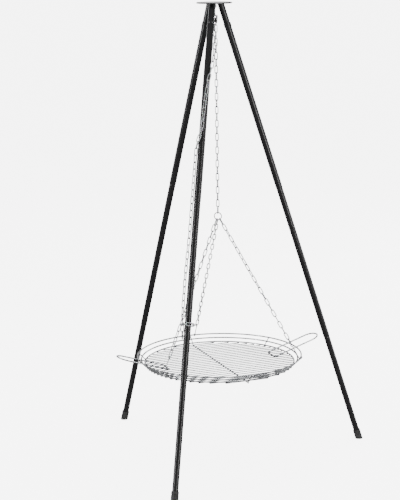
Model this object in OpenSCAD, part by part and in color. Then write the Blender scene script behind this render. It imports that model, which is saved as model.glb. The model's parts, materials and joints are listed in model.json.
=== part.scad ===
// Campfire tripod grate: three plug-together legs under a round head plate, a chain over a roller
// block, and a flared round grill hung on three sling chains. Millimetres, +Z up. The origin is on
// the ground in the middle of the footprint, and the leg that carries the chain's tail is towards -Y.

/* [Tripod] */
// Height from the ground to the top of the head plate
tripod_h = 1510; // [1400:10:1600]
// Distance from the tripod's axis to each leg's centre on the ground
foot_radius = 500; // [480:5:540]
// Distance from the tripod's axis to each leg's centre at the head plate
head_radius = 21; // [21:1:26]
// Diameter of the round head plate
plate_d = 116; // [100:2:140]
// Thickness of the head plate
plate_t = 4; // [3:0.5:6]

/* [Legs] */
// Height of the joint between the head's stubs and the upper leg tubes
upper_joint_z = 1443; // [1420:1:1460]
// Height of the joint between the upper and middle leg tubes
middle_joint_z = 897; // [800:1:1000]
// Height of the joint between the middle and lower leg tubes
lower_joint_z = 376; // [300:1:450]
// Outer diameter of the upper leg tubes
upper_od = 22.5; // [21.5:0.1:23]
// Outer diameter of the middle leg tubes
middle_od = 21.3; // [20.5:0.1:22]
// Outer diameter of the lower leg tubes
lower_od = 20.1; // [19:0.1:21]
// Wall thickness of every leg tube
tube_wall = 1; // [0.8:0.1:1.5]
// Length of the narrowed end that plugs into the tube above it
plug_l = 45; // [30:1:60]
// Diameter of the rubber foot caps
cap_d = 25; // [24:0.5:28]
// Length of the rubber foot caps along the leg
cap_l = 34; // [28:1:40]

/* [Chain] */
// Wire diameter of the chain
chain_wire = 3; // [2.8:0.1:3.2]
// Outer width of a chain link
link_w = 12; // [11.5:0.1:12.5]
// Inner length of a chain link
link_inner = 22.2; // [22:0.1:22.6]
// Height of the link that lies over the roller
over_roller_z = 1457; // [1450:1:1460]
// Number of links from the roller down to the hang ring, an odd number
main_links = 29; // [27:2:31]
// Number of links from the roller down the front leg
leg_links = 44; // [40:2:44]

/* [Hang ring and slings] */
// Outer diameter of the ring that the three slings hang from
ring_od = 28; // [26:1:32]
// Wire diameter of the hang ring
ring_wire = 3.6; // [3.4:0.1:4]
// Number of links in each sling chain
sling_links = 22; // [21:1:23]

/* [Grill] */
// Radius of the top rim ring at its wire's centre
rim_r = 275; // [265:1:280]
// Radius of the lowest rim ring, which the rods are welded under
grate_r = 251; // [245:1:255]
// Height of the top rim ring
rim_z = 336; // [330:1:345]
// Height of the lowest rim ring
grate_z = 313.5; // [305:0.5:318]
// Wire diameter of the rim rings, the handles and the support bar
rim_wire = 5; // [4:0.5:6]
// Diameter of the grill rods
rod_d = 4; // [3:0.5:5]
// Distance from one grill rod to the next
rod_pitch = 20; // [18:0.5:24]
// Direction of the rods and the handles, from +X
grate_angle = 38; // [30:1:50]
// Diameter of the short posts that join the rim rings
post_d = 3.5; // [3:0.5:4]

/* [Handles] */
// Radius from the grill's middle to a handle's tip at its wire's centre
handle_tip_r = 360; // [340:1:362]
// Radius from the grill's middle to a handle's inner end, on the rods
handle_inner_r = 190; // [170:1:210]
// Distance between a handle's two long wires
handle_w = 62; // [58:1:66]

/* [Hidden] */
$fn = 48;
gap = 0.1;
weld = 0.2;
FRONT = 270;
RIGHT = 30;
LEFT = 150;
black_paint = [0.05, 0.05, 0.055];
black_rubber = [0.03, 0.03, 0.03];
dark_steel = [0.12, 0.12, 0.13];
zinc = [0.76, 0.77, 0.79];
chrome = [0.85, 0.86, 0.88];

plate_under = tripod_h - plate_t;
lean = atan((foot_radius - head_radius) / plate_under);
stretch = 1 / cos(lean);
down_leg = [0, -sin(lean), -cos(lean)];
out_leg = [0, -cos(lean), sin(lean)];

// Chain links: the radius of their round ends, the straight part between, and the wire centres' span
wire_r = chain_wire / 2;
link_r = (link_w - chain_wire) / 2;
link_c = link_inner - (link_w - chain_wire * 2);
link_span = link_c + 2 * link_r;
pitch = link_inner - 0.2;
joint_in = (pitch - link_c) / 2;

// The flat link over the roller leans halfway between the two runs of chain
over_tilt = lean / 2;
roller_r = 6;
roller_drop = roller_r + wire_r + gap;
over_pos = [0, roller_drop * sin(over_tilt), over_roller_z];
over_dir = [0, -cos(over_tilt), sin(over_tilt)];
roller_pos = over_pos - roller_drop * [0, sin(over_tilt), cos(over_tilt)];
main_top = over_pos - over_dir * link_span / 2;
leg_top = over_pos + over_dir * link_span / 2;

// The roller block and the staple that it hangs from
block_w = 13.4;
cheek_t = 2;
cheek_reach = 9;
bridge_z = over_roller_z + 8.8;
bridge_t = 2.4;
bridge_top = bridge_z + bridge_t;
staple_r = 6.5;
staple_z = plate_under - staple_r;
staple_d = 4;
eye_r = 6;
eye_d = 3.6;
eye_z = staple_z + staple_d / 2 - eye_r + eye_d / 2 + gap;
shank_d = 7;
axle_d = 3;

// The main chain and the hang ring
main_y = main_top[1];
first_link_z = main_top[2] - link_c / 2;
upper_links = 12;
ring_r = (ring_od - ring_wire) / 2;
ring_seat = link_r - wire_r - ring_wire / 2 - gap;
ring_z = first_link_z - (main_links - 1) * pitch - link_c / 2 - ring_seat - ring_r;
ring_pos = [0, main_y, ring_z];

// The front foot and the back of the grill's rim or of the back feet set the depth, and the tripod's
// axis is placed so that the depth is centred
cap_front = cap_d / 2 * stretch;
cap_back = norm([cap_front * sin(RIGHT), cap_d / 2 * cos(RIGHT)]);
back_reach = max(foot_radius * sin(RIGHT) + cap_back, main_y + rim_r + rim_wire / 2);
axis_y = (foot_radius + cap_front - back_reach) / 2;

// The grill: rods under the lowest ring, and the support bar under the rods
mid_z = (rim_z + grate_z) / 2;
mid_r = (rim_r + grate_r) / 2;
rod_z = grate_z - (rim_wire + rod_d) / 2 + weld;
under_z = rod_z - (rim_wire + rod_d) / 2 + weld;
rods_each_side = floor((grate_r - 2 * rod_d) / rod_pitch);
rod_overhang = 1.5;
post_angle = 30;
sling_angles = [-30, 90, 210];
ring_angles = [-54, -96, -115];

// A handle lies on the rods at its inner end, and leans on the top ring
handle_z = rod_z + (rod_d + rim_wire) / 2 - weld;
handle_lean = [rim_r - handle_inner_r, rim_z - handle_z];
handle_slope = atan2(handle_lean[1], handle_lean[0]) + asin((rim_wire - weld) / norm(handle_lean));
handle_corner = 10;

// A hook has an eye for the chain's last link and an open end
hook_wire = 2.6;
hook_shank_d = 3;
hook_eye_r = 4.2;
hook_seat = joint_in;
rim_hook_r = (rim_wire + hook_shank_d) / 2 + gap;
rim_hook_shift = -3;

// The chain wound loosely round the front leg: three flat and three upright links
wrap_flat_r = (link_span + 2 * link_c) / (2 * sqrt(3));
wrap_upright_r = (link_c + 2 * link_span) / (2 * sqrt(3));
leg_hook_r = (chain_wire + hook_shank_d) / 2 + gap;
leg_hook_shank = 18;
leg_hook_angle = -86;
tail_out = 0.8;
tail_seat = 0.7;
tail_along = 3.3;

// The chain's route down the front leg. Each list is by the distance down the leg from the roller:
// the angle round the leg from its outer face, positive towards +X, the distance from the leg's
// centre to the chain's, and the roll of the links
leg_start = [0, -head_radius, plate_under]
    + ((leg_top - [0, -head_radius, plate_under]) * down_leg) * down_leg;
leg_turn = [[0, 180], [20, 178], [75, 134], [150, 82], [205, 38], [260, 21], [320, 11], [372, 5],
    [425, -54], [475, -78], [700, -82], [978, leg_hook_angle]];
leg_gap = [[0, norm(leg_top - leg_start)], [75, 19], [130, 17], [700, 17], [838, 20.5],
    [978, wrap_flat_r + leg_hook_r]];
leg_roll = [[0, 0], [60, 10], [130, 45], [858, 45], [978, 0]];

function unit(v) = v / norm(v);
function leg_at(s) = leg_start + s * down_leg;
function round_leg(a) = cos(a) * out_leg + sin(a) * [1, 0, 0];
function leg_route(s) = leg_at(s) + lookup(s, leg_gap) * round_leg(lookup(s, leg_turn));
function next_s(s) = s + pitch * pitch / norm(leg_route(s + pitch) - leg_route(s));
function leg_steps(n, s) = n == 0 ? [s] : concat([s], leg_steps(n - 1, next_s(s)));
leg_s = leg_steps(leg_links, -joint_in);
// The leg hook's eye follows the last link, and the wound chain sits below the hook's open end
hook_eye_s = leg_s[leg_links] + hook_seat;
wrap_s = hook_eye_s + hook_eye_r + leg_hook_shank + link_r;

module on_axis() {
    translate([0, axis_y, 0]) children();
}

module on_leg(angle) {
    on_axis() rotate(angle) translate([foot_radius, 0, 0]) rotate([0, -lean, 0]) children();
}

module on_grill() {
    on_axis() translate([0, main_y, 0]) rotate(grate_angle) children();
}

// Children drawn round the origin go to o, with their Z along z and their X as near x as it can be
module posed(o, x, z) {
    c = unit(z);
    b = unit(cross(c, x));
    a = cross(b, c);
    multmatrix([[a[0], b[0], c[0], o[0]], [a[1], b[1], c[1], o[1]], [a[2], b[2], c[2], o[2]]]) children();
}

// Children drawn round the front leg: X points out at an angle round the leg, Z points up the leg
module round_front_leg(s, a) {
    on_axis() posed(leg_at(s), round_leg(a), -down_leg) children();
}

// A straight wire from p to q
module wire(p, q, d) {
    posed(p, [1, 0.3, 0.2], q - p) cylinder(d = d, h = norm(q - p));
}

// Part of a wire ring in the XY plane, starting on +X
module arc(r, d, angle = 360) {
    rotate_extrude(angle = angle) translate([r, 0]) circle(d = d);
}

// A chain link in the XZ plane, with its length along Z
module link(d = chain_wire) {
    for (end = [0, 1]) mirror([0, 0, end]) translate([0, 0, link_c / 2]) rotate([90, 0, 0]) arc(link_r, d, 180);
    for (side = [-1, 1]) translate([side * link_r, 0, -link_c / 2]) cylinder(d = d, h = link_c);
}

module head_plate() {
    r = plate_d / 2;
    color(black_paint) on_axis() translate([0, 0, plate_under]) rotate_extrude()
        polygon([[0, 0], [r - 1, 0], [r, 1], [r, plate_t - 1], [r - 1, plate_t], [0, plate_t]]);
}

// A stub welded under the plate and cut flat there, with a narrowed end that plugs into the upper tube
module head_stub(angle) {
    low = upper_joint_z * stretch;
    high = plate_under * stretch + 12;
    stub_r = upper_od / 2 - 0.4;
    plug_r = upper_od / 2 - tube_wall - gap;
    color(black_paint) difference() {
        on_leg(angle) rotate_extrude() polygon([[stub_r, low + 5], [stub_r, high], [stub_r - 2, high],
            [stub_r - 2, low + 5], [plug_r - 1.5, low + 1], [plug_r - 1.5, low - plug_l],
            [plug_r, low - plug_l], [plug_r, low + 1]]);
        on_axis() translate([-plate_d, -plate_d, plate_under]) cube([2 * plate_d, 2 * plate_d, 60]);
    }
}

module head_stub_front() { head_stub(FRONT); }
module head_stub_right() { head_stub(RIGHT); }
module head_stub_left() { head_stub(LEFT); }

// The half-round staple under the plate that the roller block hangs from
module head_staple() {
    color(black_paint) on_axis() translate([0, 0, plate_under]) rotate([-90, 0, 90]) arc(staple_r, staple_d, 180);
}

// The upper tube, with a raised bead round its open top
module upper_tube(angle) {
    r = upper_od / 2;
    low = middle_joint_z * stretch;
    high = upper_joint_z * stretch;
    color(black_paint) on_leg(angle) rotate_extrude() polygon([[r, low], [r, high - 14], [r + 0.9, high - 13],
        [r + 0.9, high - 1], [r, high], [r - tube_wall, high], [r - tube_wall, low]]);
}

module upper_tube_front() { upper_tube(FRONT); }
module upper_tube_right() { upper_tube(RIGHT); }
module upper_tube_left() { upper_tube(LEFT); }

// A leg tube between two distances along the leg, with a narrowed end that plugs into the tube above
module plug_tube(low, high, od, above_od) {
    r = od / 2;
    plug_r = above_od / 2 - tube_wall - gap;
    rotate_extrude() polygon([[r, low], [r, high - 6], [plug_r, high - 1.5], [plug_r, high + plug_l],
        [plug_r - tube_wall, high + plug_l], [plug_r - tube_wall, high - 2],
        [r - tube_wall, high - 6.5], [r - tube_wall, low]]);
}

module middle_tube(angle) {
    color(black_paint) on_leg(angle)
        plug_tube(lower_joint_z * stretch, middle_joint_z * stretch, middle_od, upper_od);
}

module middle_tube_front() { middle_tube(FRONT); }
module middle_tube_right() { middle_tube(RIGHT); }
module middle_tube_left() { middle_tube(LEFT); }

module lower_tube(angle) {
    color(black_paint) on_leg(angle) plug_tube(10, lower_joint_z * stretch, lower_od, middle_od);
}

module lower_tube_front() { lower_tube(FRONT); }
module lower_tube_right() { lower_tube(RIGHT); }
module lower_tube_left() { lower_tube(LEFT); }

// A grooved rubber cap round the end of the leg, cut level with the ground
module foot_cap(angle) {
    r = cap_d / 2;
    bore = lower_od / 2 + 0.05;
    groove = 0.7;
    color(black_rubber) intersection() {
        on_leg(angle) rotate_extrude() polygon([[0, -15], [r, -15], [r, cap_l - 13], [r - groove, cap_l - 12],
            [r - groove, cap_l - 10], [r, cap_l - 9], [r, cap_l - 2], [r - 1.2, cap_l], [bore, cap_l],
            [bore, 9.9], [0, 9.9]]);
        translate([-tripod_h, -tripod_h, 0]) cube([2 * tripod_h, 2 * tripod_h, 80]);
    }
}

module foot_cap_front() { foot_cap(FRONT); }
module foot_cap_right() { foot_cap(RIGHT); }
module foot_cap_left() { foot_cap(LEFT); }

module block_eye() {
    color(chrome) on_axis() translate([0, 0, eye_z]) rotate([90, 0, 0]) arc(eye_r, eye_d);
}

// The round shank between the eye and the yoke, with a shoulder on the yoke's bridge
module block_shank() {
    top = eye_z - eye_r - eye_d / 2 + 1;
    color(dark_steel) on_axis() translate([0, 0, bridge_top]) {
        cylinder(d = shank_d, h = top - bridge_top);
        cylinder(d = shank_d + 4, h = 2);
    }
}

// The yoke: two pointed cheeks beside the roller, and a bridge over the chain
module block_yoke() {
    foot = roller_pos[2] - roller_r - 1.5;
    cheek = [[-cheek_reach, bridge_top], [cheek_reach, bridge_top], [cheek_reach, bridge_top - 7],
        [1.5, foot], [-1.5, foot], [-cheek_reach, bridge_top - 7]];
    color(dark_steel) on_axis() difference() {
        union() {
            for (side = [0, 1]) mirror([side, 0, 0]) translate([block_w / 2, 0, 0])
                rotate([90, 0, 90]) linear_extrude(cheek_t) polygon(cheek);
            translate([-block_w / 2 - cheek_t, -cheek_reach, bridge_z])
                cube([block_w + 2 * cheek_t, 2 * cheek_reach, bridge_t]);
        }
        translate(roller_pos) rotate([0, 90, 0]) cylinder(d = axle_d + 2 * gap, h = 2 * block_w, center = true);
    }
}

// The roller's axle, with a head outside each cheek
module block_axle() {
    half = block_w / 2 + cheek_t + gap;
    color(zinc) on_axis() translate(roller_pos) rotate([0, 90, 0]) {
        cylinder(d = axle_d, h = 2 * half + 1, center = true);
        for (side = [0, 1]) mirror([0, 0, side]) translate([0, 0, half]) cylinder(d = 5, h = 1.2);
    }
}

// The roller is waisted, because the upright links beside the flat one run in its middle
module block_roller() {
    half = block_w / 2 - 0.3;
    bore = axle_d / 2 + 0.05;
    waist = roller_r - 1.6;
    color(dark_steel) on_axis() translate(roller_pos) rotate([0, 90, 0]) rotate_extrude()
        polygon([[bore, -half], [roller_r, -half], [roller_r, -3], [waist, -1.2],
            [waist, 1.2], [roller_r, 3], [roller_r, half], [bore, half]]);
}

module over_link() {
    color(zinc) on_axis() posed(over_pos, [1, 0, 0], over_dir) link();
}

// The chain from the roller, across the front of the leg and down its left side
module leg_chain() {
    color(zinc) on_axis() for (k = [0 : leg_links - 1]) {
        p = leg_route(leg_s[k]);
        q = leg_route(leg_s[k + 1]);
        side = unit(cross(q - p, round_leg(lookup((leg_s[k] + leg_s[k + 1]) / 2, leg_turn))));
        out = unit(cross(side, q - p));
        roll = lookup(leg_s[k], leg_roll) + 90 * (k % 2);
        posed((p + q) / 2, cos(roll) * out + sin(roll) * side, q - p) link();
    }
}

// The hook that holds the chain to the loop wound round the leg
module leg_hook() {
    r = wrap_flat_r + leg_hook_r;
    color(zinc) {
        round_front_leg(hook_eye_s, leg_hook_angle) translate([r, 0, 0]) rotate([90, 0, 0]) arc(hook_eye_r, hook_wire);
        round_front_leg(wrap_s, leg_hook_angle) translate([wrap_flat_r, 0, link_r]) {
            wire([leg_hook_r, 0, 0], [leg_hook_r, 0, leg_hook_shank], hook_shank_d);
            rotate([90, 0, 0]) rotate(-215) arc(leg_hook_r, hook_wire, 215);
        }
    }
}

module leg_wrap_chain() {
    color(zinc) for (k = [0 : 2]) {
        round_front_leg(wrap_s, leg_hook_angle + 120 * k) translate([wrap_flat_r, 0, 0])
            posed([0, 0, 0], [0, 0, 1], [0, 1, 0]) link();
        round_front_leg(wrap_s, leg_hook_angle + 60 + 120 * k) translate([wrap_upright_r, 0, 0])
            posed([0, 0, 0], [1, 0, 0], [0, 1, 0]) link();
    }
}

// The free end of the chain, which hangs plumb from the wound loop
module chain_tail() {
    seat = leg_at(wrap_s) + (wrap_flat_r + tail_out) * round_leg(leg_hook_angle) + link_r * down_leg
        + tail_along * unit(cross(round_leg(leg_hook_angle), down_leg));
    color(zinc) on_axis() for (k = [0 : 1])
        posed(seat - [0, 0, tail_seat + link_c / 2 + k * pitch], k == 0 ? [1, 0, 0] : [0, 1, 0], [0, 0, 1]) link();
}

module main_run(first, last, d = chain_wire) {
    color(zinc) on_axis() for (k = [first : last])
        translate([0, main_y, first_link_z - (k - 1) * pitch]) rotate(90 * (k % 2)) link(d);
}

module first_link() { main_run(1, 1); }
module main_chain_upper() { main_run(2, upper_links); }
// Slightly thinner, because its links rise into the upper chain's places when the grate is hoisted
module main_chain_lower() { main_run(upper_links + 1, main_links, chain_wire - gap); }

module hang_ring() {
    color(zinc) on_axis() translate(ring_pos) rotate([90, 0, 0]) arc(ring_r, ring_wire);
}

// Where a sling starts on the hang ring, and the rim wire that its hook holds
function sling_start(i) = ring_pos + ring_r * [cos(ring_angles[i]), 0, sin(ring_angles[i])];
function hook_angle(i) = grate_angle + sling_angles[i] + rim_hook_shift;
function rim_point(i) = [rim_r * cos(hook_angle(i)), main_y + rim_r * sin(hook_angle(i)), rim_z];
function hook_across(i) = unit(cross(rim_point(i) - sling_start(i), [sin(hook_angle(i)), -cos(hook_angle(i)), 0]));
function hook_foot(i) = rim_point(i) + rim_hook_r * hook_across(i);
function sling_dir(i) = unit(hook_foot(i) - sling_start(i));
ring_in = link_r - wire_r - ring_wire / 2 - gap;
eye_from_ring = ring_in + link_c + (sling_links - 1) * pitch + joint_in + hook_seat;

// The links turn evenly from the hang ring's wire at the top to the hook's eye at the bottom
module sling_chain(i) {
    d = sling_dir(i);
    level = unit(cross([0, 0, 1], d));
    steep = cross(d, level);
    across_ring = cross(d, [-sin(ring_angles[i]), 0, cos(ring_angles[i])]);
    first_roll = atan2(across_ring * steep, across_ring * level);
    turns = sling_links - 1;
    last_roll = 180 * round((first_roll + 90 * turns) / 180);
    color(zinc) on_axis() for (k = [0 : turns]) {
        roll = first_roll + (last_roll - first_roll) * k / turns;
        posed(sling_start(i) + (ring_in + link_c / 2 + k * pitch) * d, cos(roll) * level + sin(roll) * steep, d) link();
    }
}

module sling_chain_right() { sling_chain(0); }
module sling_chain_back() { sling_chain(1); }
module sling_chain_front() { sling_chain(2); }

// The long hook between a sling's last link and the top rim ring
module sling_hook(i) {
    d = sling_dir(i);
    w = hook_across(i);
    eye = sling_start(i) + eye_from_ring * d;
    color(zinc) on_axis() {
        posed(eye, w, cross(w, d)) arc(hook_eye_r, hook_wire);
        wire(eye + hook_eye_r * d, hook_foot(i), hook_shank_d);
        posed(rim_point(i), w, cross(w, d)) arc(rim_hook_r, hook_wire, 215);
    }
}

module sling_hook_right() { sling_hook(0); }
module sling_hook_back() { sling_hook(1); }
module sling_hook_front() { sling_hook(2); }

module rim_ring(r, z) {
    color(chrome) on_grill() translate([0, 0, z]) arc(r, rim_wire);
}

module rim_ring_top() { rim_ring(rim_r, rim_z); }
module rim_ring_middle() { rim_ring(mid_r, mid_z); }
module rim_ring_grate() { rim_ring(grate_r, grate_z); }

// Six short posts outside the three rings
module rim_posts() {
    flare = unit([rim_r - grate_r, 0, rim_z - grate_z]);
    off = (rim_wire + post_d) / 2 - weld;
    out = off * [flare[2], 0, -flare[0]];
    low = [grate_r, 0, grate_z] + out - 3 * flare;
    high = [rim_r, 0, rim_z] + out + 3 * flare;
    color(chrome) on_grill() for (k = [0 : 5]) rotate(post_angle + 60 * k) wire(low, high, post_d);
}

// Parallel rods, each as long as the lowest ring is wide there
module grill_rods() {
    color(chrome) on_grill() for (k = [-rods_each_side : rods_each_side]) {
        half = sqrt(pow(grate_r, 2) - pow(k * rod_pitch, 2)) + rod_overhang;
        wire([-half, k * rod_pitch, rod_z], [half, k * rod_pitch, rod_z], rod_d);
    }
}

module support_bar() {
    half = grate_r + rod_overhang;
    color(chrome) on_grill() wire([0, -half, under_z], [0, half, under_z], rim_wire);
}

// A closed, flat wire loop with a straight inner end and a round tip
module handle(turn) {
    half = handle_w / 2;
    length = (handle_tip_r - handle_inner_r) / cos(handle_slope) - half;
    color(chrome) on_grill() rotate(turn) translate([handle_inner_r, 0, handle_z]) rotate([0, -handle_slope, 0]) {
        translate([0, handle_corner - half, 0]) rotate([-90, 0, 0])
            cylinder(d = rim_wire, h = handle_w - 2 * handle_corner);
        for (side = [0, 1]) mirror([0, side, 0]) {
            translate([handle_corner, half - handle_corner, 0]) rotate(90) arc(handle_corner, rim_wire, 90);
            translate([handle_corner, half, 0]) rotate([0, 90, 0]) cylinder(d = rim_wire, h = length - handle_corner);
        }
        translate([length, 0, 0]) rotate(-90) arc(half, rim_wire, 180);
    }
}

module handle_right() { handle(0); }
module handle_left() { handle(180); }

head_plate();
head_stub_front();
head_stub_right();
head_stub_left();
head_staple();
upper_tube_front();
upper_tube_right();
upper_tube_left();
middle_tube_front();
middle_tube_right();
middle_tube_left();
lower_tube_front();
lower_tube_right();
lower_tube_left();
foot_cap_front();
foot_cap_right();
foot_cap_left();
block_eye();
block_shank();
block_yoke();
block_axle();
block_roller();
over_link();
leg_chain();
leg_hook();
leg_wrap_chain();
chain_tail();
first_link();
main_chain_upper();
main_chain_lower();
hang_ring();
sling_chain_right();
sling_chain_back();
sling_chain_front();
sling_hook_right();
sling_hook_back();
sling_hook_front();
rim_ring_top();
rim_ring_middle();
rim_ring_grate();
rim_posts();
grill_rods();
support_bar();
handle_right();
handle_left();
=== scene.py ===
import json
import math

import bmesh
import bpy
import numpy as np
from mathutils import Matrix, Vector, noise


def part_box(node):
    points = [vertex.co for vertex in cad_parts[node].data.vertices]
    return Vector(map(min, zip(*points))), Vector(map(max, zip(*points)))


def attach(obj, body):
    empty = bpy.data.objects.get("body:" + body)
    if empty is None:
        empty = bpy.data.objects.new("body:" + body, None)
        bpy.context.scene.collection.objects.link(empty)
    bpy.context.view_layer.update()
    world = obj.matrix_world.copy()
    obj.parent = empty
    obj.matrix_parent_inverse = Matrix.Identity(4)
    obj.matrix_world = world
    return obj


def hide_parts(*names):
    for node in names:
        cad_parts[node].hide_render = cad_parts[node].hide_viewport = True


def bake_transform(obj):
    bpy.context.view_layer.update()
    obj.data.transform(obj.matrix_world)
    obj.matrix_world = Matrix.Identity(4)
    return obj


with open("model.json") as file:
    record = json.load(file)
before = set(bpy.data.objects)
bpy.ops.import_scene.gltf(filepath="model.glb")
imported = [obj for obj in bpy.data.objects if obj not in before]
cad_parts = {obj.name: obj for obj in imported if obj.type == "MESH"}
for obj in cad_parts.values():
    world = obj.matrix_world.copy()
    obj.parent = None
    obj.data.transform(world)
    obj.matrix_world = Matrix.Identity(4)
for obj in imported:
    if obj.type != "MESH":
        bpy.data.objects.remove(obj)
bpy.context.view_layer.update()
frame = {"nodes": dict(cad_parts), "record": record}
nodes = frame["nodes"]
MM = 0.001


def box_mid(name):
    low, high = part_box(name)
    return (low + high) / 2


# ---------------------------------------------------------------- places taken from the frame
plate_mid = box_mid("head_plate")
axis = Vector((plate_mid.x, plate_mid.y, 0))
grill_mid = box_mid("rim_ring_top")

# ---------------------------------------------------------------- camera
CAM_DISTANCE = 4.990
CAM_HEIGHT = 1.731
CAM_ROUND = 16.44  # degrees round from the front leg, towards +X
CAM_PITCH = 11.66
CAM_ROLL = -0.66
CAM_FOCAL_PX = 1538.0
CAM_CENTRE_PX = (217.1, 249.0)
IMAGE_PX = (400, 500)
SENSOR_MM = 36.0
CAM_CLIP = (0.1, 500)


def make_camera():
    data = bpy.data.cameras.new("camera")
    cam = bpy.data.objects.new("camera", data)
    bpy.context.scene.collection.objects.link(cam)
    plan = math.radians(270 + CAM_ROUND)
    cam.location = axis + Vector((CAM_DISTANCE * math.cos(plan), CAM_DISTANCE * math.sin(plan), CAM_HEIGHT))
    cam.rotation_mode = "QUATERNION"
    pitch = math.radians(CAM_PITCH)
    ahead = Vector((-math.cos(plan) * math.cos(pitch), -math.sin(plan) * math.cos(pitch), -math.sin(pitch)))
    turn = ahead.to_track_quat("-Z", "Y")
    roll = Matrix.Rotation(math.radians(CAM_ROLL), 3, "Z").to_quaternion()
    cam.rotation_quaternion = turn @ roll
    data.sensor_width = SENSOR_MM
    long_side = max(IMAGE_PX)
    data.lens = CAM_FOCAL_PX / long_side * SENSOR_MM
    data.shift_x = (IMAGE_PX[0] / 2 - CAM_CENTRE_PX[0]) / long_side
    data.shift_y = (CAM_CENTRE_PX[1] - IMAGE_PX[1] / 2) / long_side
    data.clip_start, data.clip_end = CAM_CLIP
    bpy.context.scene.camera = cam


make_camera()


# ---------------------------------------------------------------- materials
class Nodes:
    """A short way to write a material's node tree."""

    def __init__(self, name):
        self.mat = bpy.data.materials.new(name)
        self.mat.use_nodes = True
        self.tree = self.mat.node_tree
        self.shader = self.tree.nodes["Principled BSDF"]
        self.at = self.add("ShaderNodeTexCoord").outputs["Object"]

    def add(self, kind, **values):
        made = self.tree.nodes.new(kind)
        for key, value in values.items():
            if key in made.inputs:
                self.put(made.inputs[key], value)
            elif hasattr(made, key):
                setattr(made, key, value)
            else:
                self.put(made.inputs[key.replace("_", " ")], value)
        return made

    def put(self, socket, value):
        if isinstance(value, bpy.types.NodeSocket):
            self.tree.links.new(value, socket)
        else:
            socket.default_value = value

    def set(self, **values):
        for key, value in values.items():
            self.put(self.shader.inputs[key.replace("_", " ")], value)

    def noise(self, scale, detail=3.0, rough=0.5, at=None):
        values = {"Scale": scale, "Detail": detail, "Roughness": rough, "Vector": at or self.at}
        return self.add("ShaderNodeTexNoise", **values).outputs["Fac"]

    def cells(self, scale, at=None):
        made = self.add("ShaderNodeTexVoronoi", Scale=scale, Vector=at or self.at)
        return made.outputs["Color"]

    def spread(self, fac, low, high, start=0.0, end=1.0):
        made = self.add("ShaderNodeMapRange", Value=fac)
        for socket, value in zip(("From Min", "From Max", "To Min", "To Max"), (start, end, low, high)):
            self.put(made.inputs[socket], value)
        return made.outputs["Result"]

    def mix(self, fac, first, second):
        made = self.add("ShaderNodeMix", data_type="RGBA")
        self.put(made.inputs[0], fac)
        self.put(made.inputs[6], first)
        self.put(made.inputs[7], second)
        return made.outputs[2]

    def bump(self, height, strength, depth, below=None):
        made = self.add("ShaderNodeBump", Height=height, Strength=strength, Distance=depth)
        if below is not None:
            self.put(made.inputs["Normal"], below)
        return made.outputs["Normal"]


def grey(value, warm=0.0):
    return (value * (1 + warm), value, value * (1 - warm), 1.0)


def paint_material():
    m = Nodes("gloss_black_paint")
    cloud = m.noise(9.0, 4.0)
    dust = m.noise(140.0, 6.0, 0.7)
    speck = m.spread(dust, 0.0, 1.0, 0.62, 0.78)
    m.set(
        Base_Color=m.mix(speck, (0.0020, 0.0020, 0.0022, 1), (0.008, 0.008, 0.0085, 1)),
        Roughness=m.spread(cloud, 0.18, 0.28, 0.3, 0.7),
        Coat_Weight=0.12,
        Coat_Roughness=m.spread(dust, 0.05, 0.16, 0.35, 0.75),
        Normal=m.bump(m.noise(420.0, 2.0), 0.04, 0.0002),
    )
    m.put(m.shader.inputs["Specular IOR Level"], 0.32)
    return m.mat


def zinc_material():
    m = Nodes("bright_zinc_plate")
    spangle = m.cells(900.0)
    cloud = m.noise(60.0, 4.0, 0.6)
    tone = m.mix(m.spread(cloud, 0.0, 1.0, 0.35, 0.7), (0.30, 0.31, 0.32, 1), (0.54, 0.55, 0.57, 1))
    m.set(
        Metallic=1.0,
        Base_Color=m.mix(0.18, tone, spangle),
        Roughness=m.spread(m.noise(700.0, 3.0), 0.20, 0.42, 0.3, 0.7),
        Normal=m.bump(m.noise(1500.0, 3.0, 0.6), 0.25, 0.0002),
    )
    return m.mat


def chrome_material():
    m = Nodes("chrome_wire")
    cloud = m.noise(40.0, 4.0, 0.6)
    tone = m.mix(m.spread(cloud, 0.0, 1.0, 0.35, 0.68), (0.20, 0.205, 0.215, 1), (0.38, 0.39, 0.40, 1))
    drawn = m.add("ShaderNodeMapping", Vector=m.at, Scale=(1.0, 1.0, 6.0)).outputs["Vector"]
    m.set(
        Metallic=1.0,
        Base_Color=tone,
        Roughness=m.spread(m.noise(300.0, 3.0, 0.6, drawn), 0.08, 0.24, 0.3, 0.75),
        Normal=m.bump(m.noise(900.0, 2.0, 0.5, drawn), 0.12, 0.0002),
    )
    return m.mat


def weld_material():
    m = Nodes("plated_weld")
    cloud = m.noise(500.0, 4.0, 0.65)
    m.set(
        Metallic=1.0,
        Base_Color=m.mix(m.spread(cloud, 0.0, 1.0, 0.35, 0.7), grey(0.16, 0.06), grey(0.36)),
        Roughness=m.spread(cloud, 0.22, 0.5, 0.3, 0.7),
        Normal=m.bump(m.noise(1300.0, 4.0, 0.7), 0.5, 0.0004),
    )
    return m.mat


def rubber_material():
    m = Nodes("black_rubber")
    grain = m.noise(900.0, 4.0, 0.7)
    scuff = m.noise(70.0, 5.0, 0.7)
    m.set(
        Base_Color=m.mix(m.spread(scuff, 0.0, 1.0, 0.5, 0.75), grey(0.003), grey(0.010)),
        Roughness=m.spread(grain, 0.48, 0.72, 0.3, 0.7),
        Normal=m.bump(grain, 0.35, 0.0003),
    )
    return m.mat


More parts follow.
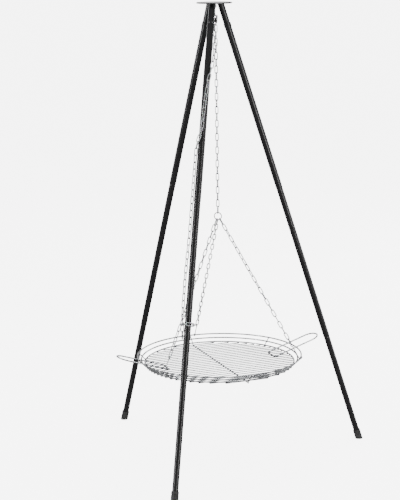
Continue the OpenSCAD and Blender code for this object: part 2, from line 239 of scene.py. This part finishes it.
def dark_steel_material():
    m = Nodes("blackened_steel")
    cloud = m.noise(260.0, 5.0, 0.65)
    m.set(
        Metallic=0.85,
        Base_Color=m.mix(m.spread(cloud, 0.0, 1.0, 0.4, 0.75), grey(0.028), grey(0.12, 0.04)),
        Roughness=m.spread(cloud, 0.30, 0.52, 0.3, 0.7),
        Normal=m.bump(m.noise(1200.0, 4.0, 0.6), 0.3, 0.0003),
    )
    return m.mat


def floor_material():
    m = Nodes("pale_floor")
    pale = m.mix(m.noise(3.0, 3.0), grey(0.90), grey(0.92))
    m.set(Base_Color=pale, Roughness=0.75, Emission_Color=pale, Emission_Strength=6.0)
    m.put(m.shader.inputs["Specular IOR Level"], 0.2)
    return m.mat


PAINT = paint_material()
ZINC = zinc_material()
CHROME = chrome_material()
WELD = weld_material()
RUBBER = rubber_material()
DARK = dark_steel_material()
BY_SLOT = {
    "black_paint": PAINT,
    "zinc": ZINC,
    "chrome_wire": CHROME,
    "black_rubber": RUBBER,
    "dark_steel": DARK,
}
SLOT_OF = {part["node"]: part["material_slot"] for part in frame["record"]["subparts"]}

for name, node in nodes.items():
    node.data.materials.clear()
    node.data.materials.append(BY_SLOT[SLOT_OF[name]])


# ---------------------------------------------------------------- mesh building
def new_piece(name, verts, faces, slot, body=None, replaced=(), material=None):
    mesh = bpy.data.meshes.new(name)
    mesh.from_pydata([tuple(v) for v in verts], [], faces)
    mesh.polygons.foreach_set("use_smooth", [True] * len(mesh.polygons))
    mesh.materials.append(material or BY_SLOT[slot])
    mesh.update()
    piece = bpy.data.objects.new(name, mesh)
    bpy.context.scene.collection.objects.link(piece)
    if replaced:
        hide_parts(*replaced)
    if body:
        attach(piece, body)
    return piece


def side_vectors(points, closed):
    """For each point of a path, two unit vectors across it that turn as little as they can along it."""
    count = len(points)
    ahead = []
    for k in range(count):
        before = points[(k - 1) % count] if closed or k > 0 else points[k]
        after = points[(k + 1) % count] if closed or k < count - 1 else points[k]
        ahead.append((after - before).normalized())
    first = Vector((0, 0, 1)) if abs(ahead[0].z) < 0.9 else Vector((1, 0, 0))
    across = (first - ahead[0] * first.dot(ahead[0])).normalized()
    found = []
    for direction in ahead:
        across = (across - direction * across.dot(direction)).normalized()
        found.append((across, direction.cross(across)))
    return found


def sweep(points, radii, sides=12, closed=False):
    """Vertices and faces of a round wire along a path, with a radius at each point."""
    verts, faces = [], []
    count = len(points)
    for point, radius, (u, v) in zip(points, radii, side_vectors(points, closed)):
        for s in range(sides):
            a = 2 * math.pi * s / sides
            verts.append(point + radius * (math.cos(a) * u + math.sin(a) * v))
    for k in range(count if closed else count - 1):
        n = (k + 1) % count
        for s in range(sides):
            t = (s + 1) % sides
            faces.append((k * sides + s, k * sides + t, n * sides + t, n * sides + s))
    if not closed:
        faces.append(tuple(range(sides))[::-1])
        faces.append(tuple((count - 1) * sides + s for s in range(sides)))
    return verts, faces


class Pile:
    """Several shells gathered into one mesh."""

    def __init__(self):
        self.verts, self.faces = [], []

    def add(self, shell):
        start = len(self.verts)
        self.verts.extend(shell[0])
        self.faces.extend(tuple(start + i for i in face) for face in shell[1])


def islands(name):
    """The separate solids of a CAD node, each as an array of its vertices, from the top down."""
    bm = bmesh.new()
    bm.from_mesh(nodes[name].data)
    bmesh.ops.remove_doubles(bm, verts=bm.verts, dist=1e-6)
    bm.verts.ensure_lookup_table()
    seen, found = set(), []
    for vert in bm.verts:
        if vert.index in seen:
            continue
        stack, members = [vert], []
        seen.add(vert.index)
        while stack:
            one = stack.pop()
            members.append(tuple(one.co))
            for edge in one.link_edges:
                other = edge.other_vert(one)
                if other.index not in seen:
                    seen.add(other.index)
                    stack.append(other)
        found.append(np.array(members))
    bm.free()
    return sorted(found, key=lambda co: -co[:, 2].mean())


def principal(co):
    """A solid's middle and its long, wide and thin axes, with their extents."""
    axes = np.linalg.eigh(np.cov((co - co.mean(0)).T))[1][:, ::-1].T
    reach = co @ axes.T
    low, high = reach.min(0), reach.max(0)
    middle = ((low + high) / 2) @ axes
    fixed = np.array([0.2, 0.35, 1.0])
    axes = np.array([a if a @ fixed >= 0 else -a for a in axes])
    return Vector(middle), [Vector(a) for a in axes], [float(x) for x in high - low]


# ---------------------------------------------------------------- chain links
LINK_SIDES = 12
LINK_END_STEPS = 12
# Places along a link's straight side, as shares of it, and how much thicker the wire is there at the weld
SIDE_SHARES = (-0.42, -0.13, -0.09, 0.0, 0.09, 0.13, 0.42)
WELD_HALF_SHARE = 0.1
WELD_SWELL = 1.13
WELD_MIDDLE_SWELL = 1.06


def link_shell(middle, axes, extents, wire):
    """A welded link: a round wire bent to a long loop, with its weld half way along one side."""
    long_axis, wide_axis = axes[0], axes[1]
    radius = (extents[1] - 2 * wire) / 2
    half = (extents[0] - 2 * wire) / 2 - radius
    points, radii = [], []
    for end in (1, -1):
        for k in range(LINK_END_STEPS + 1):
            a = math.pi * k / LINK_END_STEPS
            across, along = end * math.cos(a) * radius, end * (half + math.sin(a) * radius)
            points.append(middle + wide_axis * across + long_axis * along)
            radii.append(wire)
        side = -end
        for share in SIDE_SHARES:
            swell = WELD_SWELL if side > 0 and abs(share) < WELD_HALF_SHARE else 1.0
            if side > 0 and share == 0.0:
                swell = WELD_MIDDLE_SWELL
            points.append(middle + wide_axis * (side * radius) + long_axis * (side * 2 * half * share))
            radii.append(wire * swell)
    return sweep(points, radii, LINK_SIDES, closed=True)


def chain_piece(name, node, body, wire):
    pile = Pile()
    for co in islands(node):
        middle, axes, extents = principal(co)
        pile.add(link_shell(middle, axes, extents, wire))
    return new_piece(name, pile.verts, pile.faces, "zinc", body, [node])


CHAIN_WIRE = 1.5 * MM
THIN_WIRE = 1.45 * MM
RIGID_CHAINS = (
    ("over_link", "frame"),
    ("leg_chain", "frame"),
    ("leg_wrap_chain", "frame"),
    ("chain_tail", "frame"),
    ("first_link", "first_link"),
    ("main_chain_upper", "chain_upper"),
    ("sling_chain_right", "grate"),
    ("sling_chain_back", "grate"),
    ("sling_chain_front", "grate"),
)
for node_name, body_name in RIGID_CHAINS:
    chain_piece(node_name + "_links", node_name, body_name, CHAIN_WIRE)

# The lower part of the main chain twists above the hang ring when the grate turns, and its first links lie
# inside the upper links when the grate is hoisted. Here its links are built in place and given to no body.
lower_chain = chain_piece("main_chain_lower_links", "main_chain_lower", None, THIN_WIRE)
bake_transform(lower_chain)


# ---------------------------------------------------------------- grill
WIRE_SIDES = 14
RING_STEPS = 216


def ring_piece(node):
    low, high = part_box(node)
    middle = (low + high) / 2
    wire = (high.z - low.z) / 2
    radius = (high.x - low.x) / 2 - wire
    points = [
        middle + radius * Vector((math.cos(a), math.sin(a), 0))
        for a in (2 * math.pi * k / RING_STEPS for k in range(RING_STEPS))
    ]
    shell = sweep(points, [wire] * RING_STEPS, WIRE_SIDES, closed=True)
    new_piece(node + "_wire", shell[0], shell[1], "chrome_wire", "grate", [node])
    return middle, radius, wire


top_mid, top_r, ring_wire = ring_piece("rim_ring_top")
mid_mid, mid_r, _ = ring_piece("rim_ring_middle")
low_mid, low_r, _ = ring_piece("rim_ring_grate")


# Where a rod's end is rounded off, as shares of the wire's radius: along the rod, and its radius there
ROUND_OFF = (0.35, 1.0)
ROUND_RADII = (0.55, 0.9)
ROD_STEPS = 10
POST_STEPS = 4


def rod_shell(co, steps=ROD_STEPS):
    """A straight rod with rounded-off ends in place of a CAD cylinder. Returns its shell, ends and radius."""
    middle, axes, extents = principal(co)
    wire = (extents[1] + extents[2]) / 4
    half = extents[0] / 2
    ends = [middle - axes[0] * half, middle + axes[0] * half]
    shares = [0.0] + [step * wire / extents[0] for step in ROUND_OFF]
    shares += [k / steps for k in range(1, steps)]
    shares += [1 - s for s in shares[2::-1]]
    rounded = [share * wire for share in ROUND_RADII]
    radii = rounded + [wire] * (len(shares) - 2 * len(rounded)) + rounded[::-1]
    points = [ends[0].lerp(ends[1], s) for s in shares]
    return sweep(points, radii, WIRE_SIDES), ends, wire


rod_ends = []
rods = Pile()
for co in islands("grill_rods"):
    shell, ends, rod_wire = rod_shell(co)
    rods.add(shell)
    rod_ends.append(ends)
new_piece("grill_rods_wire", rods.verts, rods.faces, "chrome_wire", "grate", ["grill_rods"])
bar_shell, bar_ends, bar_wire = rod_shell(islands("support_bar")[0])
new_piece("support_bar_wire", bar_shell[0], bar_shell[1], "chrome_wire", "grate", ["support_bar"])
post_ends = []
posts = Pile()
for co in islands("rim_posts"):
    shell, ends, post_wire = rod_shell(co, POST_STEPS)
    posts.add(shell)
    post_ends.append(ends)
new_piece("rim_posts_wire", posts.verts, posts.faces, "chrome_wire", "grate", ["rim_posts"])


# ---------------------------------------------------------------- handles
HANDLE_HALF = 31 * MM
HANDLE_INNER = 190 * MM
HANDLE_TIP = 360 * MM
HANDLE_CORNER = 10 * MM
HANDLE_WIRE = 2.5 * MM
WELD_SINK = 0.2 * MM
END_STEPS = 20
CORNER_STEPS = 8
STRAIGHT_SHARES = (0.25, 0.5, 0.75)

rod_way = rod_ends[0][1] - rod_ends[0][0]
rod_angle = math.atan2(rod_way.y, rod_way.x) % math.pi
handle_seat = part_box("handle_right")[0].z + HANDLE_WIRE
climb, run = top_mid.z - handle_seat, top_r - HANDLE_INNER
handle_slope = math.atan2(climb, run)
handle_slope += math.asin((HANDLE_WIRE + ring_wire - WELD_SINK) / math.hypot(climb, run))


def handle_point(along, across):
    """A point in a handle's plane, which leans up from the rods over the top ring."""
    return Vector((HANDLE_INNER + along * math.cos(handle_slope), across, along * math.sin(handle_slope)))


def handle_path():
    """The closed loop of a handle's wire, from the grill's middle along +X: straight inner end, round tip."""
    length = (HANDLE_TIP - HANDLE_INNER) / math.cos(handle_slope) - HANDLE_HALF
    straight = [HANDLE_CORNER + (length - HANDLE_CORNER) * share for share in STRAIGHT_SHARES]
    half = []
    for k in range(CORNER_STEPS + 1):
        a = math.pi / 2 * (1 - k / CORNER_STEPS)
        half.append((HANDLE_CORNER * (1 - math.sin(a)), HANDLE_HALF - HANDLE_CORNER * (1 - math.cos(a))))
    half += [(along, HANDLE_HALF) for along in straight]
    tip = []
    for k in range(END_STEPS + 1):
        a = math.pi / 2 - math.pi * k / END_STEPS
        tip.append((length + HANDLE_HALF * math.cos(a), HANDLE_HALF * math.sin(a)))
    back = [(along, -across) for along, across in reversed(half)]
    return [handle_point(along, across) for along, across in half + tip + back]


handle_turns = []
for node_name, angle in (("handle_right", rod_angle), ("handle_left", rod_angle + math.pi)):
    turn = Matrix.Rotation(angle, 3, "Z")
    handle_turns.append(turn)
    seat = Vector((grill_mid.x, grill_mid.y, handle_seat))
    path = [seat + turn @ p for p in handle_path()]
    shell = sweep(path, [HANDLE_WIRE] * len(path), WIRE_SIDES, closed=True)
    new_piece(node_name + "_wire", shell[0], shell[1], "chrome_wire", "grate", [node_name])


# ---------------------------------------------------------------- welds
# Half sizes of the weld beads: along, across and up
ROD_END_WELD = (2.6 * MM, 1.9 * MM, 1.0 * MM)
POST_WELD = (2.6 * MM, 1.2 * MM, 1.8 * MM)
BAR_WELD = (2.0 * MM, 2.0 * MM, 0.7 * MM)
RIM_WELD = (2.6 * MM, 2.2 * MM, 1.2 * MM)
SEAT_WELD = (2.4 * MM, 2.0 * MM, 0.8 * MM)
TOWARDS_POST = 0.58
UNEVEN = 0.16
UNEVEN_SCALE = 1.7
SIDEWAYS = Vector((0, 1, 0))


def lump(at, along, size, seed):
    """A small uneven weld bead, longer along one way."""
    bm = bmesh.new()
    bmesh.ops.create_icosphere(bm, subdivisions=2, radius=1.0)
    frame_turn = along.to_track_quat("X", "Z").to_matrix()
    verts = []
    for vert in bm.verts:
        bulge = 1 + UNEVEN * noise.noise(vert.co * UNEVEN_SCALE + Vector((seed * 3.1, seed * 1.7, 0)))
        co = Vector((vert.co.x * size[0], vert.co.y * size[1], vert.co.z * size[2])) * bulge
        verts.append(at + frame_turn @ co)
    faces = [tuple(v.index for v in face.verts) for face in bm.faces]
    bm.free()
    return verts, faces


welds = Pile()
seed = 0
for ends in rod_ends:
    way = (ends[1] - ends[0]).normalized()
    for end in ends:
        out = end - low_mid
        out.z = 0
        touch = low_mid + out.normalized() * low_r
        touch = Vector((touch.x, touch.y, (low_mid.z - ring_wire + end.z + rod_wire) / 2))
        seed += 1
        welds.add(lump(touch, way, ROD_END_WELD, seed))
for ends in post_ends:
    middle = (ends[0] + ends[1]) / 2
    for centre, radius in ((top_mid, top_r), (mid_mid, mid_r), (low_mid, low_r)):
        out = Vector((middle.x - centre.x, middle.y - centre.y, 0)).normalized()
        share = (centre.z - ends[0].z) / (ends[1].z - ends[0].z)
        on_post = ends[0].lerp(ends[1], share)
        on_ring = centre + out * radius
        seed += 1
        welds.add(lump(on_ring.lerp(on_post, TOWARDS_POST), Vector((-out.y, out.x, 0)), POST_WELD, seed))
bar_way = (bar_ends[1] - bar_ends[0]).normalized()
for ends in rod_ends:
    way = (ends[1] - ends[0]).normalized()
    offset = (ends[0] - bar_ends[0]).dot(bar_way)
    cross = bar_ends[0] + bar_way * offset
    seed += 1
    cross.z += bar_wire
    welds.add(lump(cross, way, BAR_WELD, seed))
for turn in handle_turns:
    seat = Vector((grill_mid.x, grill_mid.y, handle_seat))
    for side in (-1, 1):
        reach = math.sqrt(top_r**2 - HANDLE_HALF**2)
        on_ring = top_mid + turn @ Vector((reach, side * HANDLE_HALF, 0))
        along = (reach - HANDLE_INNER) / math.cos(handle_slope)
        on_wire = seat + turn @ handle_point(along, side * HANDLE_HALF)
        seed += 1
        welds.add(lump(on_ring.lerp(on_wire, 0.5), turn @ SIDEWAYS, RIM_WELD, seed))
    for ends in rod_ends:
        across = (turn.transposed() @ (ends[0] - grill_mid)).y
        if abs(across) < HANDLE_HALF - HANDLE_CORNER:
            spot = seat + turn @ Vector((HANDLE_INNER, across, 0))
            spot.z = ends[0].z + rod_wire
            seed += 1
            welds.add(lump(spot, turn @ SIDEWAYS, SEAT_WELD, seed))
new_piece("grill_welds", welds.verts, welds.faces, "chrome_wire", "grate", material=WELD)

# ---------------------------------------------------------------- stage and light
FLOOR_HALF = 200.0
FLOOR_DROP = 0.5 * MM
floor_corners = [(FLOOR_HALF * x, FLOOR_HALF * y, 0) for x, y in ((-1, -1), (1, -1), (1, 1), (-1, 1))]
floor_mesh = bpy.data.meshes.new("floor")
floor_mesh.from_pydata(floor_corners, [], [(0, 1, 2, 3)])
floor_mesh.materials.append(floor_material())
floor = bpy.data.objects.new("floor", floor_mesh)
floor.location.z = -FLOOR_DROP
floor.visible_glossy = False
bpy.context.scene.collection.objects.link(floor)

# Heights in the world's sphere, from 0 straight down to 1 overhead, and how bright it is there
WORLD_STOPS = (
    (0.0, 0.10),
    (0.44, 0.12),
    (0.485, 1.0),
    (0.515, 1.0),
    (0.56, 0.12),
    (0.70, 0.10),
    (0.80, 0.38),
    (1.0, 0.42),
)
WORLD_STRENGTH = 3.0
COOL = 1.005


def make_world():
    """White at the horizon and overhead, with darker bands above and below it for the wire to reflect."""
    world = bpy.data.worlds.new("studio")
    bpy.context.scene.world = world
    world.use_nodes = True
    tree = world.node_tree
    place = tree.nodes.new("ShaderNodeTexCoord")
    split = tree.nodes.new("ShaderNodeSeparateXYZ")
    ramp = tree.nodes.new("ShaderNodeValToRGB")
    tree.links.new(place.outputs["Generated"], split.inputs[0])
    upright = tree.nodes.new("ShaderNodeMapRange")
    upright.inputs["From Min"].default_value = -1.0
    tree.links.new(split.outputs["Z"], upright.inputs["Value"])
    tree.links.new(upright.outputs["Result"], ramp.inputs[0])
    ramp.color_ramp.elements[0].position = WORLD_STOPS[0][0]
    ramp.color_ramp.elements[1].position = WORLD_STOPS[-1][0]
    for position, _ in WORLD_STOPS[1:-1]:
        ramp.color_ramp.elements.new(position)
    for element, (position, value) in zip(ramp.color_ramp.elements, WORLD_STOPS):
        element.position = position
        element.color = (value, value, value * COOL, 1)
    back = tree.nodes["Background"]
    tree.links.new(ramp.outputs["Color"], back.inputs["Color"])
    back.inputs["Strength"].default_value = WORLD_STRENGTH


# Name, place from the tripod's axis, width and height, and power
LIGHTS = (
    ("key", (-3.2, -3.4, 1.4), (0.35, 2.8), 110),
    ("fill", (3.8, -2.2, 1.3), (0.25, 2.6), 60),
    ("rim", (1.5, 4.0, 2.4), (1.2, 2.4), 70),
    ("top", (0, 0, 4.6), (3.0, 3.0), 120),
)
AIM_HEIGHT = 0.75


def area_light(name, place, target, size, power):
    data = bpy.data.lights.new(name, "AREA")
    data.shape = "RECTANGLE"
    data.size, data.size_y = size
    data.energy = power
    light = bpy.data.objects.new(name, data)
    light.location = place
    light.rotation_mode = "QUATERNION"
    light.rotation_quaternion = (target - place).to_track_quat("-Z", "Y")
    light.visible_camera = False
    bpy.context.scene.collection.objects.link(light)


make_world()
aim = axis + Vector((0, 0, AIM_HEIGHT))
for light_name, place, size, power in LIGHTS:
    area_light(light_name, axis + Vector(place), aim, size, power)
